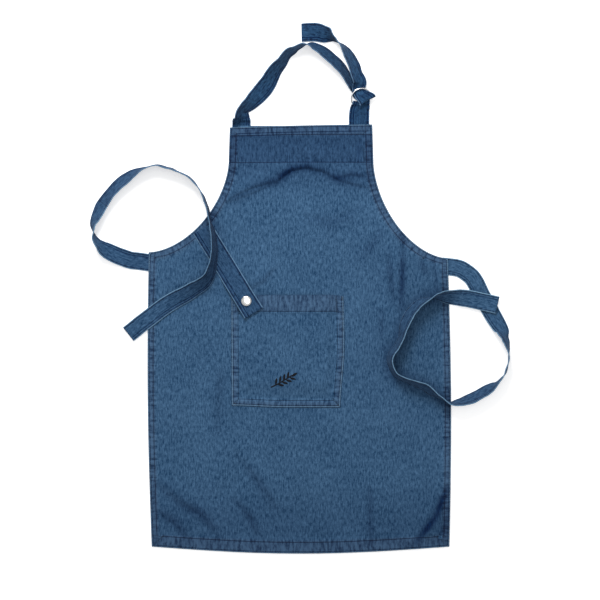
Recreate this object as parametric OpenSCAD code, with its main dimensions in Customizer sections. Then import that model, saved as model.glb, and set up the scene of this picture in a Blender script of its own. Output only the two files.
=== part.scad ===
// Bib apron in denim, lying flat: panel, hems, patch pocket, towel strap with a snap,
// neck strap threaded through two D-rings, and two waist ties in loose loops.
// The apron lies on the XY plane, bib toward +Y, front face toward +Z.

/* [Panel] */
// Width of the bib along its top edge
bib_width = 284; // [200:2:340]
// Y of the top edge of the bib
bib_top = 325; // [280:1:380]
// Height of the deep facing behind the top of the bib
facing_depth = 70; // [30:1:100]
// Width of the lower part of the panel
body_width = 598; // [400:2:760]
// Y of the lower edge of the panel at its corners
hem_line = -516; // [-560:1:-300]
// How far the middle of the lower edge hangs below its corners
hem_bow = 14; // [0:1:30]
// Y where the side edges end and the armhole curves begin
waist_line = 66; // [20:1:120]
// Y where the armhole curves reach the straight edges of the bib
armhole_top = 256; // [200:1:300]
// Roundness of the armhole curves, 1 is an ellipse
armhole_power = 1.15; // [0.9:0.01:1.4]
// Thickness of one layer of the denim
cloth = 1.0; // [0.6:0.1:1.6]
// Thickness of the folded hems behind the panel
hem_fold = 1.6; // [1:0.1:3]

/* [Hems] */
// Width of the side hems
side_hem = 14; // [8:1:30]
// Width of the armhole facings
armhole_hem = 16; // [8:1:30]
// Depth of the bottom hem
bottom_hem_depth = 25; // [10:1:50]

/* [Pocket] */
// Width and height of the square patch pocket
pocket_size = 223; // [120:1:300]
// Inside height of the pocket as it gapes
pocket_gap = 5.6; // [5:0.2:12]
// Depth of the hem at the pocket mouth
mouth_hem = 32; // [15:1:50]

/* [Straps] */
// Thickness of the doubled straps and ties
strap = 2.2; // [1.6:0.1:4]
// Width of the waist ties
tie_width = 35; // [20:1:50]
// Width of the neck strap
neck_width = 37; // [20:1:50]
// Width of the neck strap where it is bunched inside the rings
bunched_width = 26; // [18:1:30]
// Width of the towel strap
towel_width = 42; // [25:1:60]
// Length of the towel strap
towel_length = 190; // [120:1:240]

/* [Rings and snap] */
// Thickness of the ring wire
wire = 3; // [2:0.1:4]
// Half of the width of a ring, to the middle of the wire
ring_half = 21; // [18:0.5:26]
// Radius of the ring corners
ring_corner = 4; // [3:0.5:6]
// Lift of the front ring from flat
front_lift = 16; // [14:1:30]
// Lift of the back ring from flat
back_lift = 6; // [4:0.5:8]
// Diameter of the snap cap
cap_d = 20.5; // [12:0.5:25]
// Diameter of the snap stud
stud_d = 8; // [6:0.5:10]
// Bore of the snap socket
socket_bore = 9; // [7:0.5:11]

/* [Hidden] */
denim = [0.22, 0.33, 0.45];
dark_denim = [0.15, 0.24, 0.35];
thread = [0.42, 0.42, 0.46];
steel = [0.78, 0.79, 0.80];

// panel levels
panel_z = hem_fold;
top_z = hem_fold + cloth;
skirt_x = -5;
half_body = body_width / 2;
left_x = skirt_x - half_body;
right_x = skirt_x + half_body;
left_waist = waist_line + 6;
right_waist = waist_line - 6;

// panel outline, each stretch listed counterclockwise
function bow(u) = sin(180 * u);
right_side = [for (k = [0:10]) let (u = k / 10)
  [right_x + 2 - 3 * u + 5 * bow(u), hem_line + (right_waist - hem_line) * u]];
left_side = [for (k = [0:10]) let (u = k / 10)
  [left_x + u * 6 - 5 * bow(u), left_waist + (hem_line - left_waist) * u]];
low_edge = [for (k = [0:14]) let (u = k / 14)
  [left_side[10][0] + (right_side[0][0] - left_side[10][0]) * u, hem_line - hem_bow * bow(u)]];
function arm(xw, yw, xb, t) = [xw - (xw - xb) * pow(cos(t), armhole_power),
  armhole_top - (armhole_top - yw) * pow(sin(t), armhole_power)];
right_arm = [for (k = [0:20])
  arm(right_side[10][0], right_waist, bib_width / 2 + 2, 90 - 4.5 * k)];
left_arm = [for (k = [0:20]) arm(left_side[0][0], left_waist, -bib_width / 2 - 2, 4.5 * k)];
bib_edge = [[bib_width / 2, bib_top + 2], [0, bib_top], [-bib_width / 2, bib_top - 4]];
outline = concat([for (k = [0:13]) low_edge[k]], [for (k = [0:9]) right_side[k]],
  right_arm, bib_edge, left_arm, [for (k = [1:9]) left_side[k]]);

// moves a line of points sideways by d, to the left of its direction
function unit(v) = v / norm(v);
function at(p, i) = p[max(0, min(len(p) - 1, i))];
function beside(p, d) = [for (i = [0:len(p) - 1])
  let (t = unit(at(p, i + 1) - at(p, i - 1))) p[i] + d * [-t[1], t[0]]];
function back(p) = [for (i = [len(p) - 1:-1:0]) p[i]];

module strip(p, d0, d1, h) {
  linear_extrude(height = h) polygon(concat(beside(p, d0), back(beside(p, d1))));
}

module body_panel() {
  color(denim) translate([0, 0, panel_z]) linear_extrude(height = cloth) polygon(outline);
}

module bib_facing() {
  w = bib_width - 2 * armhole_hem - 1;
  color(denim) linear_extrude(height = hem_fold) polygon([[-w / 2, bib_top - facing_depth],
    [w / 2, bib_top - facing_depth], [w / 2, bib_top + 1], [0, bib_top - 0.5],
    [-w / 2, bib_top - 4]]);
}

// the facing runs down the straight edge of the bib and on round the armhole
right_run = concat(right_arm, [[bib_width / 2, bib_top + 2]]);
left_run = concat([[-bib_width / 2, bib_top - 4]], left_arm);

module right_armhole_facing() {
  color(denim) strip([for (k = [2:21]) right_run[k]], 0, armhole_hem, hem_fold);
}

module left_armhole_facing() {
  color(denim) strip([for (k = [0:19]) left_run[k]], 0, armhole_hem, hem_fold);
}

module right_side_hem() {
  color(denim) difference() {
    strip(right_side, 0, side_hem, hem_fold);
    translate([0, hem_line - 30, -1]) cube([500, 30 + bottom_hem_depth, 4]);
    translate([0, right_waist - 3, -1]) cube([500, 30, 4]);
  }
}

module left_side_hem() {
  color(denim) difference() {
    strip(left_side, 0, side_hem, hem_fold);
    translate([-500, hem_line - 30, -1]) cube([500, 30 + bottom_hem_depth, 4]);
    translate([-500, left_waist - 3, -1]) cube([500, 30, 4]);
  }
}

module bottom_hem() {
  color(denim) difference() {
    strip(low_edge, 0, bottom_hem_depth - 1, hem_fold);
    translate([right_x, hem_line - 30, -1]) rotate(8) cube([60, 90, 4]);
    translate([left_x, hem_line - 30, -1]) rotate(-8) translate([-60, 0, 0]) cube([60, 90, 4]);
  }
}

// one row of thread, a thin raised line on the face of the cloth
module thread_row(p, d, z) {
  translate([0, 0, z]) strip(p, d - 0.4, d + 0.4, 0.4);
}

module hem_stitching() {
  color(thread) {
    thread_row([for (k = [2:21]) right_run[k]], armhole_hem - 2, top_z);
    thread_row([for (k = [0:19]) left_run[k]], armhole_hem - 2, top_z);
    thread_row([for (k = [1:9]) right_side[k]], side_hem - 2, top_z);
    thread_row([for (k = [1:9]) left_side[k]], side_hem - 2, top_z);
    thread_row([for (k = [1:13]) low_edge[k]], bottom_hem_depth - 2, top_z);
  }
}

module bib_stitching() {
  w = bib_width / 2 - armhole_hem;
  color(thread) {
    thread_row([[w, bib_top + 1], [0, bib_top], [-w, bib_top - 3]], 17, top_z);
    thread_row([[w, bib_top - facing_depth], [-w, bib_top - facing_depth - 2]], -2, top_z);
  }
}

// pocket: a shallow gaping pouch, closed by its sewn edges on three sides
pocket_x = -27.5;
pocket_top = -14.5;
pocket_z = top_z + pocket_gap;
slope_run = 12;

module pouch(w, h, up, run) {
  intersection() {
    rotate([90, 0, 0]) linear_extrude(height = h) polygon([[-w / 2, 0], [w / 2, 0],
      [w / 2 - run, up], [-w / 2 + run, up]]);
    translate([-w / 2, 0, 0]) rotate([90, 0, 90]) linear_extrude(height = w)
      polygon([[-h, 0], [0, 0], [0, up], [-h + run, up]]);
  }
}

module patch_pocket() {
  color(denim) translate([pocket_x, pocket_top, top_z]) difference() {
    pouch(pocket_size, pocket_size, pocket_gap + cloth, slope_run);
    translate([0, 1, -0.01]) pouch(pocket_size - 4, pocket_size - 1, pocket_gap, slope_run);
  }
}

module pocket_hem() {
  w = pocket_size - 2 * slope_run - 6;
  color(denim) translate([pocket_x - w / 2, pocket_top - mouth_hem, pocket_z - cloth - 0.02])
    cube([w, mouth_hem, cloth]);
}

module pocket_stitching() {
  w = pocket_size / 2 - slope_run - 2;
  h = pocket_size - slope_run - 2;
  color(thread) translate([pocket_x, pocket_top, pocket_z + cloth]) {
    translate([-w, -mouth_hem, 0]) cube([2 * w, 0.8, 0.4]);
    for (d = [0, 6]) {
      translate([-w + d, -h + d, 0]) cube([0.8, h - d - 2, 0.4]);
      translate([w - d - 0.8, -h + d, 0]) cube([0.8, h - d - 2, 0.4]);
      translate([-w + d, -h + d, 0]) cube([2 * w - 2 * d, 0.8, 0.4]);
    }
  }
}

module pocket_bartacks() {
  w = pocket_size / 2 - slope_run - 6;
  h = pocket_size - slope_run - 6;
  color(thread) translate([pocket_x, pocket_top, pocket_z + cloth]) {
    for (s = [-1, 1]) {
      translate([s * w - 4, -h, 0.4]) cube([8, 2, 0.4]);
      translate([s * w - 4, -5, 0.4]) cube([8, 2, 0.4]);
    }
  }
}

// a plain leaf sprig worked in dark thread
module leaf(l, w) {
  linear_extrude(height = 0.5) polygon(concat(
    [for (k = [0:8]) [l * k / 8, w / 2 * sin(22.5 * k)]],
    [for (k = [7:-1:1]) [l * k / 8, -w / 2 * sin(22.5 * k)]]));
}

module embroidered_motif() {
  color([0.05, 0.05, 0.06]) translate([-35, -184, pocket_z + cloth]) rotate(28) {
    translate([-28, -0.7, 0]) cube([48, 1.4, 0.5]);
    translate([18, 0, 0]) leaf(13, 6);
    for (k = [0:3]) {
      translate([-18 + 9 * k, 0.5, 0]) rotate(48) leaf(13, 5);
      translate([-13 + 9 * k, -0.5, 0]) rotate(-48) leaf(13, 5);
    }
  }
}

// ribbon: each route point is x, y, level of its lowest edge, roll, width
function cubic(a, b, c, d, t) = 0.5 * (2 * b + (c - a) * t + (2 * a - 5 * b + 4 * c - d) * t * t
  + (3 * b - a - 3 * c + d) * t * t * t);
function smooth(p, n) = concat([for (i = [0:len(p) - 2]) for (k = [0:n - 1])
  cubic(at(p, i - 1), p[i], p[i + 1], at(p, i + 2), k / n)], [p[len(p) - 1]]);
function height(q) = q[2] + q[4] / 2 * abs(sin(q[3])) + strap / 2 * abs(cos(q[3]));
function corners(q, t) = let (
  s = unit([-t[1], t[0], 0]),
  w = (cos(q[3]) * s + [0, 0, sin(q[3])]) * q[4] / 2,
  n = (-sin(q[3]) * s + [0, 0, cos(q[3])]) * strap / 2,
  c = [q[0], q[1], height(q)]) [c - w - n, c + w - n, c + w + n, c - w + n];

function sections(route, n) = let (p = smooth(route, n)) [for (i = [0:len(p) - 1])
  corners(p[i], [for (j = [0:1]) at(p, i + 1)[j] - at(p, i - 1)[j]])];

module swept(rows) {
  m = len(rows);
  pts = [for (r = rows) each r];
  sides = [for (i = [0:m - 2]) for (j = [0:3])
    let (a = 4 * i + j, b = 4 * i + (j + 1) % 4) each [[a, b, b + 4], [a, b + 4, a + 4]]];
  caps = [[0, 3, 2], [0, 2, 1], [4 * m - 4, 4 * m - 3, 4 * m - 2], [4 * m - 4, 4 * m - 2, 4 * m - 1]];
  polyhedron(points = pts, faces = [for (f = concat(sides, caps)) back(f)]);
}

module ribbon(route, n) {
  swept(sections(route, n));
}

// waist ties: the first stretch lies beside the panel, the rest is a loose loop
tw = tie_width;
left_root_route = [[left_x - 2, 52, 0, 0, tw], [-324, 54, 0, 0, tw], [-346, 58, 0, 5, tw], [-382, 72, 0, 22, tw],
  [-403, 88, 0, 62, tw], [-412, 109, 0, 90, tw]];
left_route = [[-412, 112, 0, 90, tw], [-409, 137, 0, 122, tw], [-392, 171, 0, 138, tw],
  [-362, 207, 0, 132, tw], [-330, 230, 0, 115, tw], [-298, 242, 0, 97, tw],
  [-262, 240, 0, 95, tw], [-230, 225, 0, 97, tw], [-204, 199, 1, 95, tw],
  [-190, 167, 4, 92, tw], [-181, 135, 6, 97, tw], [-173, 103, 6, 110, tw],
  [-171, 73, 6, 115, tw], [-176, 41, 6, 118, tw], [-191, 13, 5, 130, tw],
  [-222, -7, 3.6, 150, tw], [-262, -29, 3.2, 172, tw], [-302, -58, 3.2, 180, tw],
  [-345, -92, 2, 180, tw]];
right_root_route = [[right_x + 4, 42, 0, 0, tw], [314, 40, 0, 0, tw], [334, 29, 0, 0, tw],
  [347, 14, 0, 0, tw]];
right_route = [[354, 2, 0, 0, tw], [363, -18, 0, -4, tw], [378, -45, 0, -5, tw],
  [396, -77, 0, -25, tw], [410, -107, 0, -70, tw], [415, -135, 0, -84, tw],
  [408, -161, 0, -78, tw], [394, -185, 0, -95, tw], [372, -202, 0, -118, tw],
  [342, -218, 2, -121, tw], [314, -227, 3.5, -108, tw], [296, -228, 3.5, -92, tw],
  [274, -215, 3.5, -80, tw], [246, -197, 3.5, -70, tw], [214, -186, 3.5, -72, tw],
  [190, -175, 3.5, -75, tw], [178, -155, 3.5, -78, tw], [180, -129, 3.5, -75, tw],
  [198, -101, 3.5, -68, tw], [205, -73, 3.5, -64, tw], [218, -47, 3.5, -60, tw],
  [238, -27, 3.5, -70, tw], [264, -17, 3.5, -100, tw], [292, -17, 4, -140, tw],
  [328, -20, 5, -170, tw], [362, -27, 7, -178, tw], [392, -34, 7, -180, tw]];

module left_tie_root() {
  color(denim) ribbon(left_root_route, 5);
}

module left_tie() {
  color(denim) ribbon(left_route, 5);
}

module right_tie_root() {
  color(denim) ribbon(right_root_route, 5);
}

module right_tie() {
  color(denim) ribbon(right_route, 5);
}

module tie_stitching() {
  color(thread) {
    for (d = [-12, 12]) {
      translate([left_x - 15, 52.5 + d, strap + 0.3]) cube([12, 0.8, 0.4]);
      translate([right_x + 5, 42 + d, strap + 0.12]) cube([12, 0.8, 0.4]);
    }
    translate([left_x - 15, 40.5, strap + 0.3]) cube([0.8, 24, 0.4]);
    translate([right_x + 16, 30, strap + 0.12]) cube([0.8, 24, 0.4]);
  }
}

// neck strap: first stretch, threaded fold, and free tail
nw = neck_width;
bw = bunched_width;
neck_route = [[-119, 330, 0, 0, nw], [-119, 340, 0, 35, nw], [-119, 350, 0, 60, nw],
  [-112, 358.5, 0, 56, nw], [-103, 366, 0, 46, nw], [-87, 382, 0, 30, nw], [-72, 400, 0, 24, nw],
  [-60, 420, 0, 36, nw], [-45, 442, 0, 48, nw], [-24, 467, 0, 66, nw], [4, 485, 0, 90, nw],
  [30, 479, 0, 122, nw], [54, 465, 0, 132, nw], [76, 443, 0, 128, nw], [92, 421, 0, 122, nw],
  [104, 409, 0, 150, 32], [110, 403, 0.3, 172, 28], [115, 396, 0.5, 180, bw]];
tail_route = [[115, 396, 7.5, 0, bw], [114, 404, 7.8, 4, 29], [116, 411, 8, 15, nw],
  [112, 426, 7, 38, nw], [104, 444, 5, 47, nw], [95, 463, 3, 52, nw],
  [84, 481, 1, 65, nw], [68, 496, 0, 95, nw], [50, 506, 0, 135, nw], [28, 511, 0, 165, nw],
  [1, 511, 0, 180, nw]];
fold_axis = 26;
fold_mid = [121, 383.2];
fold_path = [[10, 1.7], [6, 2.2], [3, 4.4], [0, 7.2], [-3, 9.7], [-6, 11], [-9, 11.5],
  [-12, 11.8], [-14, 12.8], [-14, 13.7], [-12, 14.8], [-6, 14.6], [0, 13.2], [3, 11.8],
  [7, 9.6], [11, 8.6]];
function fold_point(q) = [fold_mid[0] - q[0] * sin(fold_axis),
  fold_mid[1] + q[0] * cos(fold_axis), q[1]];
fold_rows = [for (i = [0:len(fold_path) - 1]) let (
  c = fold_point(fold_path[i]),
  t = unit(fold_point(at(fold_path, i + 1)) - fold_point(at(fold_path, i - 1))),
  w = -[cos(fold_axis), sin(fold_axis), 0],
  n = cross(t, w) * strap / 2) [c - w * bw / 2 - n, c + w * bw / 2 - n,
  c + w * bw / 2 + n, c - w * bw / 2 + n]];

module neck_strap() {
  color(dark_denim) swept(concat(sections(neck_route, 5), fold_rows, sections(tail_route, 5)));
}

// buckle: two D-rings, one above the other, their straight bars held in the fold of a tab
ring_x = 122;
ring_y = 374;
ring_turn = 18;
bar_z = 3.2;
bar_step = 3.4;
sleeve_r = 1.9;

module on_buckle() {
  translate([ring_x, ring_y, bar_z]) rotate([0, 0, ring_turn]) children();
}

module d_ring() {
  straight = 2 * (ring_half - ring_corner);
  translate([-straight / 2, 0, 0]) rotate([0, 90, 0]) cylinder(h = straight, d = wire, $fn = 48);
  translate([0, ring_corner, 0]) rotate_extrude(angle = 180, $fn = 96)
    translate([ring_half, 0]) circle(d = wire, $fn = 32);
  translate([straight / 2, ring_corner, 0]) rotate([0, 0, -90])
    rotate_extrude(angle = 90, $fn = 64) translate([ring_corner, 0]) circle(d = wire, $fn = 32);
  translate([-straight / 2, ring_corner, 0]) rotate([0, 0, 180])
    rotate_extrude(angle = 90, $fn = 64) translate([ring_corner, 0]) circle(d = wire, $fn = 32);
}

module front_ring() {
  color(steel) on_buckle() translate([0, 0, bar_step]) rotate([front_lift, 0, 0]) d_ring();
}

module back_ring() {
  color(steel) on_buckle() rotate([back_lift, 0, 0]) d_ring();
}

// the tab wraps both bars in an upright oval sleeve and runs down to the bib edge
tab_half = ring_half - ring_corner - 0.5;
function oval(r, h) = concat([for (k = [0:16]) [r * cos(11.25 * k), h + r * sin(11.25 * k)]],
  [for (k = [16:32]) [r * cos(11.25 * k), r * sin(11.25 * k)]]);
function by_ring(u, v) = [ring_x + u * cos(ring_turn) - v * sin(ring_turn),
  ring_y + u * sin(ring_turn) + v * cos(ring_turn)];

module neck_tab() {
  color(dark_denim) {
    on_buckle() rotate([90, 0, 90]) translate([0, 0, -tab_half])
      linear_extrude(height = 2 * tab_half) difference() {
        polygon(oval(sleeve_r + 1.2, bar_step));
        polygon(oval(sleeve_r, bar_step));
      }
    translate([0, 0, 0.4]) linear_extrude(height = 2) polygon([[95, 329.5], [137, 329.5],
      [138, 352], by_ring(tab_half, -2), by_ring(-tab_half, -2), [96, 352]]);
  }
}

// towel strap, laid across the armhole corner and snapped to the pocket
towel_turn = -58.5;
towel_x = -193;
towel_y = 112;
hinge_at = 86;
strap_z = top_z + 0.45;
stud_top = pocket_z + cloth + 2.4;
snap_at = 161;
low_path = [[hinge_at + 1, strap_z], [hinge_at + 8, strap_z + 0.4], [104, strap_z + 4],
  [126, stud_top - 1.4], [136, stud_top], [towel_length, stud_top]];

module on_towel() {
  translate([towel_x, towel_y, 0]) rotate([0, 0, towel_turn]) children();
}

module towel_strap_root() {
  color(denim) on_towel() translate([0, 0, strap_z]) linear_extrude(height = strap)
    polygon([[-7, -towel_width / 2], [hinge_at - 1, -towel_width / 2],
      [hinge_at - 1, towel_width / 2], [12, towel_width / 2]]);
}

module towel_strap() {
  color(denim) on_towel() difference() {
    translate([0, towel_width / 2, 0]) rotate([90, 0, 0]) linear_extrude(height = towel_width)
      polygon(concat(low_path, [for (p = back(low_path)) [p[0], p[1] + strap]]));
    translate([snap_at, 0, stud_top - 1]) cylinder(h = 5, d = 3.2, $fn = 32);
  }
}

module on_snap(z) {
  on_towel() translate([snap_at, 0, z]) children();
}

// snap: cap and socket grip the towel strap, stud and post grip the pocket
module snap_cap() {
  r = cap_d / 2;
  color(steel) on_snap(stud_top + strap) {
    cylinder(h = 0.8, r = r, $fn = 96);
    translate([0, 0, 0.8]) rotate_extrude($fn = 96) polygon([[0, 0], [r, 0], [r - 0.3, 0.8],
      [r - 1.2, 1.5], [r - 3, 2.1], [r - 6, 2.5], [0, 2.7]]);
  }
}

module snap_socket() {
  color(steel) on_snap(stud_top - 2) difference() {
    cylinder(h = 2, d = 14, $fn = 64);
    translate([0, 0, -1]) cylinder(h = 2.6, d = socket_bore, $fn = 64);
  }
}

module snap_stud() {
  color(steel) on_snap(pocket_z + cloth) {
    cylinder(h = 0.4, d = 14, $fn = 64);
    cylinder(h = 1.6, d = stud_d, $fn = 64);
  }
}

module snap_post() {
  color(steel) on_snap(pocket_z - cloth - 0.82) cylinder(h = 0.8, d = 12, $fn = 64);
}

body_panel();
bib_facing();
left_armhole_facing();
right_armhole_facing();
left_side_hem();
right_side_hem();
bottom_hem();
hem_stitching();
bib_stitching();
patch_pocket();
pocket_hem();
pocket_stitching();
pocket_bartacks();
embroidered_motif();
neck_strap();
neck_tab();
back_ring();
front_ring();
towel_strap_root();
towel_strap();
snap_cap();
snap_socket();
snap_stud();
snap_post();
left_tie_root();
left_tie();
right_tie_root();
right_tie();
tie_stitching();
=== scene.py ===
"""A denim bib apron lying flat, front face up: cloth, straps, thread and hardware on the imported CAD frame.

The frame is the CAD's: X across, Y along the apron towards the neck, Z up. Shapes are worked out in mm, and
become metres as each mesh is made.
"""

import math

import bpy
import numpy as np
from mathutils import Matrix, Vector


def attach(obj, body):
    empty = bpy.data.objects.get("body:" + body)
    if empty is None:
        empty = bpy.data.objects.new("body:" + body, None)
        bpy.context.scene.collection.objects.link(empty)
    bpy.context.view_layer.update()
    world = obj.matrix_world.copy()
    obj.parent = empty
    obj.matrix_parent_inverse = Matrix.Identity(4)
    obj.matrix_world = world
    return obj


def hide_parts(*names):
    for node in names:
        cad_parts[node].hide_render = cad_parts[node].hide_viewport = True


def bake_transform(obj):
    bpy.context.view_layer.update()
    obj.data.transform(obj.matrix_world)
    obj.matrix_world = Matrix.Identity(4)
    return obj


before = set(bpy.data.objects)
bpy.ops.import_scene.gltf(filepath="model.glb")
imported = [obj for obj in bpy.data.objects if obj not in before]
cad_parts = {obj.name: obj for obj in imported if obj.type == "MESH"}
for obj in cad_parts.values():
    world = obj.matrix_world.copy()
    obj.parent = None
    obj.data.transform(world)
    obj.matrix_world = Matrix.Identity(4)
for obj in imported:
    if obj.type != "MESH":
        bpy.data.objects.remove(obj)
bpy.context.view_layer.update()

MM = 0.001
UP = np.array([0.0, 0.0, 1.0])

# -------- camera, straight above
CENTRE = (-0.002, -0.0235)

camera_data = bpy.data.cameras.new("camera")
camera_data.lens, camera_data.sensor_width = 90, 36
camera = bpy.data.objects.new("camera", camera_data)
camera.location = (*CENTRE, 3.0)
bpy.context.scene.collection.objects.link(camera)
bpy.context.scene.camera = camera
bpy.context.scene.view_settings.view_transform = "Standard"

# -------- sizes (mm, as in the CAD)
BIB_HALF, BIB_TOP = 142, 325
ARM_TOP, ARM_POWER, ARM_RISE = 256, 1.15, 1.7
LEFT_X, RIGHT_X = -304, 294
LEFT_WAIST, RIGHT_WAIST = 72, 60
HEM_Y, HEM_BOW = -516, 14
SIDE_HEM, ARM_HEM, BOTTOM_HEM, FACING = 14, 16, 25, 72
BIB_STITCH = 17

CLOTH = 1.0  # one layer of denim
STRAP = 2.2  # a doubled strap
STITCH, STITCH_GAP, THREAD = 2.9, 0.8, 0.34  # length, gap and radius
SIDE_ROW, ARM_ROW, BOTTOM_ROW, EDGE_ROW = 11, 13, 22, 1.6  # stitch rows from the panel's edge
STRAP_ROWS = (-0.8, 0.8)  # stitch rows across a strap, as a share of its half width
NOWHERE = 99.0  # a distance at which no stitch line shows

POCKET_TOP, POCKET_SIZE, MOUTH_HEM, POCKET_GAPE = -14.5, 223, 32, 5.4
POCKET_LEFT, POCKET_RIGHT = -139, 84.5
# width of the pocket's turned edge, how much thicker and higher it is, and the two stitch rows on it
POCKET_TURNED, POCKET_EXTRA, POCKET_RAISED, POCKET_ROWS = 11.5, 0.85, 0.35, (2.5, 13)

TOWEL_START, TOWEL_TURN = (-193, 112), -58.5
TOWEL_WIDTH = 42
TIE_WIDTH = 35

RING, RING_TURN, BAR_Z, BAR_STEP = (122, 374), 18, 3.2, 3.4
TAB_WRAP = 2.45  # from the middle of a ring's bar to the middle of the tab round it

# route points: x, y, level of the lowest edge, roll, and width where it varies
LEFT_TIE = [
    (-290, 50, 0, 0), (-324, 54, 0, 0), (-346, 58, 0, 5), (-382, 72, 0, 22), (-403, 88, 0, 62),
    (-412, 109, 0, 90), (-409, 137, 0, 122), (-392, 171, 0, 138), (-362, 207, 0, 132), (-330, 230, 0, 115),
    (-298, 242, 0, 97), (-262, 240, 0, 95), (-230, 225, 0, 97), (-204, 199, 1, 95), (-190, 167, 4, 92),
    (-181, 135, 6, 97), (-173, 103, 6, 110), (-171, 73, 6, 115), (-176, 41, 6, 118), (-191, 13, 5, 130),
    (-222, -7, 3.6, 150), (-262, -29, 3.2, 172), (-302, -58, 3.2, 180), (-345, -92, 2, 180)]
RIGHT_TIE = [
    (282, 44, 0, 0), (314, 40, 0, 0), (334, 29, 0, 0), (347, 14, 0, 0), (363, -18, 0, -4), (378, -45, 0, -5),
    (396, -77, 0, -25), (410, -107, 0, -70), (415, -135, 0, -84), (408, -161, 0, -78), (394, -185, 0, -95),
    (372, -202, 0, -118), (342, -218, 2, -121), (314, -227, 3.5, -108), (296, -228, 3.5, -92),
    (274, -215, 3.5, -80), (246, -197, 3.5, -70), (214, -186, 3.5, -72), (190, -175, 3.5, -75),
    (178, -155, 3.5, -78), (180, -129, 3.5, -75), (198, -101, 3.5, -68), (205, -73, 3.5, -64),
    (218, -47, 3.5, -60), (238, -27, 3.5, -70), (264, -17, 3.5, -100), (292, -17, 4, -140),
    (328, -20, 5, -170), (362, -27, 7, -178), (392, -34, 7, -180)]
LEFT_TIE, RIGHT_TIE = ([(*point, TIE_WIDTH) for point in tie] for tie in (LEFT_TIE, RIGHT_TIE))
NECK_STRAP = [
    (-119, 303, 1.2, 0, 35), (-119, 322, 0.8, 0, 37), (-119, 330, 0, 0, 37), (-119, 340, 0, 35, 37),
    (-119, 350, 0, 60, 37), (-112, 358.5, 0, 56, 37), (-103, 366, 0, 46, 37), (-87, 382, 0, 30, 37),
    (-72, 400, 0, 24, 37), (-60, 420, 0, 36, 37), (-45, 442, 0, 48, 37), (-24, 467, 0, 66, 37),
    (4, 485, 0, 90, 37), (30, 479, 0, 122, 37), (54, 465, 0, 132, 37), (76, 443, 0, 128, 37),
    (92, 421, 0, 122, 37), (104, 409, 0, 150, 32), (110, 403, 0.3, 172, 28), (115, 396, 0.5, 180, 26)]
NECK_TAIL = [
    (115, 396, 7.5, 0, 26), (116, 404, 7.8, 4, 27), (117, 411, 8, 20, 29), (112, 425, 7, 36, 32),
    (104, 444, 5, 47, 36), (95, 463, 3, 52, 37), (84, 481, 1, 65, 37), (68, 496, 0, 95, 37),
    (50, 506, 0, 135, 37), (28, 511, 0, 165, 37), (1, 511, 0, 180, 37)]
# where the strap folds back inside the rings: distance towards the arcs, level, width, shift to the right
FOLD_MID, FOLD_AXIS = (121, 383.2), 26
NECK_FOLD = [
    (10, 1.7, 29, -1.5), (6, 2.2, 29, -1.5), (3, 4.4, 28, -1), (0, 7.2, 27, 0), (-3, 9.7, 28, 1),
    (-6, 11, 31, 3), (-9, 11.5, 34, 5), (-12, 11.8, 37, 6), (-14, 12.8, 38, 6.5), (-14, 13.7, 38, 6.5),
    (-12, 14.8, 37, 6), (-6, 14.6, 32, 3.5), (0, 13.2, 28, 1), (3, 11.8, 27, 0), (7, 9.6, 26, 0),
    (11, 8.6, 26, 0)]


# -------- numbers
def noise(x, y, cell, seed):
    """Smooth noise from -1 to 1 with bumps about one cell apart."""
    gx, gy = np.asarray(x, float) / cell + 500, np.asarray(y, float) / cell + 500
    ix, iy = np.floor(gx).astype(np.int64), np.floor(gy).astype(np.int64)
    fx, fy = gx - ix, gy - iy
    fx, fy = fx * fx * (3 - 2 * fx), fy * fy * (3 - 2 * fy)

    def corner(dx, dy):
        n = ((ix + dx) * 374761393 + (iy + dy) * 668265263 + seed * 362437) & 0x7FFFFFFF
        n = ((n ^ (n >> 13)) * 1274126177) & 0x7FFFFFFF
        return ((n ^ (n >> 16)) & 0xFFFF) / 32767.5 - 1

    low = corner(0, 0) * (1 - fx) + corner(1, 0) * fx
    high = corner(0, 1) * (1 - fx) + corner(1, 1) * fx
    return low * (1 - fy) + high * fy


def ease(t):
    """A smooth step from 0 to 1."""
    t = np.clip(t, 0, 1)
    return t * t * (3 - 2 * t)


def distance_along(points):
    """Distance of each point from the first one, along the polyline."""
    return np.concatenate([[0], np.cumsum(np.linalg.norm(np.diff(points, axis=0), axis=1))])


def resample(points, step):
    """Points a fixed distance apart along a polyline."""
    points = np.asarray(points, float)
    length = distance_along(points)
    count = max(2, int(round(length[-1] / step)) + 1)
    at = np.linspace(0, length[-1], count)
    return np.stack([np.interp(at, length, points[:, k]) for k in range(points.shape[1])], axis=1)


def spline(points, per):
    """Catmull-Rom curve through rows of numbers."""
    p = np.asarray(points, float)
    rows = []
    for i in range(len(p) - 1):
        a, b, c, d = p[max(i - 1, 0)], p[i], p[i + 1], p[min(i + 2, len(p) - 1)]
        for t in np.arange(per) / per:
            rows.append(0.5 * (2 * b + (c - a) * t + (2 * a - 5 * b + 4 * c - d) * t * t
                               + (3 * b - a - 3 * c + d) * t ** 3))
    rows.append(p[-1])
    return np.array(rows)


def unit(v):
    """Vectors at length 1."""
    return v / np.maximum(np.linalg.norm(v, axis=-1, keepdims=True), 1e-9)


def to_left(line):
    """Direction to the left of a flat line, at each of its points."""
    ahead = np.gradient(line, axis=0)
    return unit(np.stack([-ahead[:, 1], ahead[:, 0]], -1))


# -------- outline of the panel
def side_edge(sign, u):
    """Side edge, u from 0 at the hem to 1 at the waist."""
    bow = 5 * np.sin(np.pi * u)
    if sign > 0:
        return np.stack([RIGHT_X + 2 - 3 * u + bow, HEM_Y + (RIGHT_WAIST - HEM_Y) * u], -1)
    return np.stack([LEFT_X + 6 * (1 - u) - bow, HEM_Y + (LEFT_WAIST - HEM_Y) * u], -1)


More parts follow.
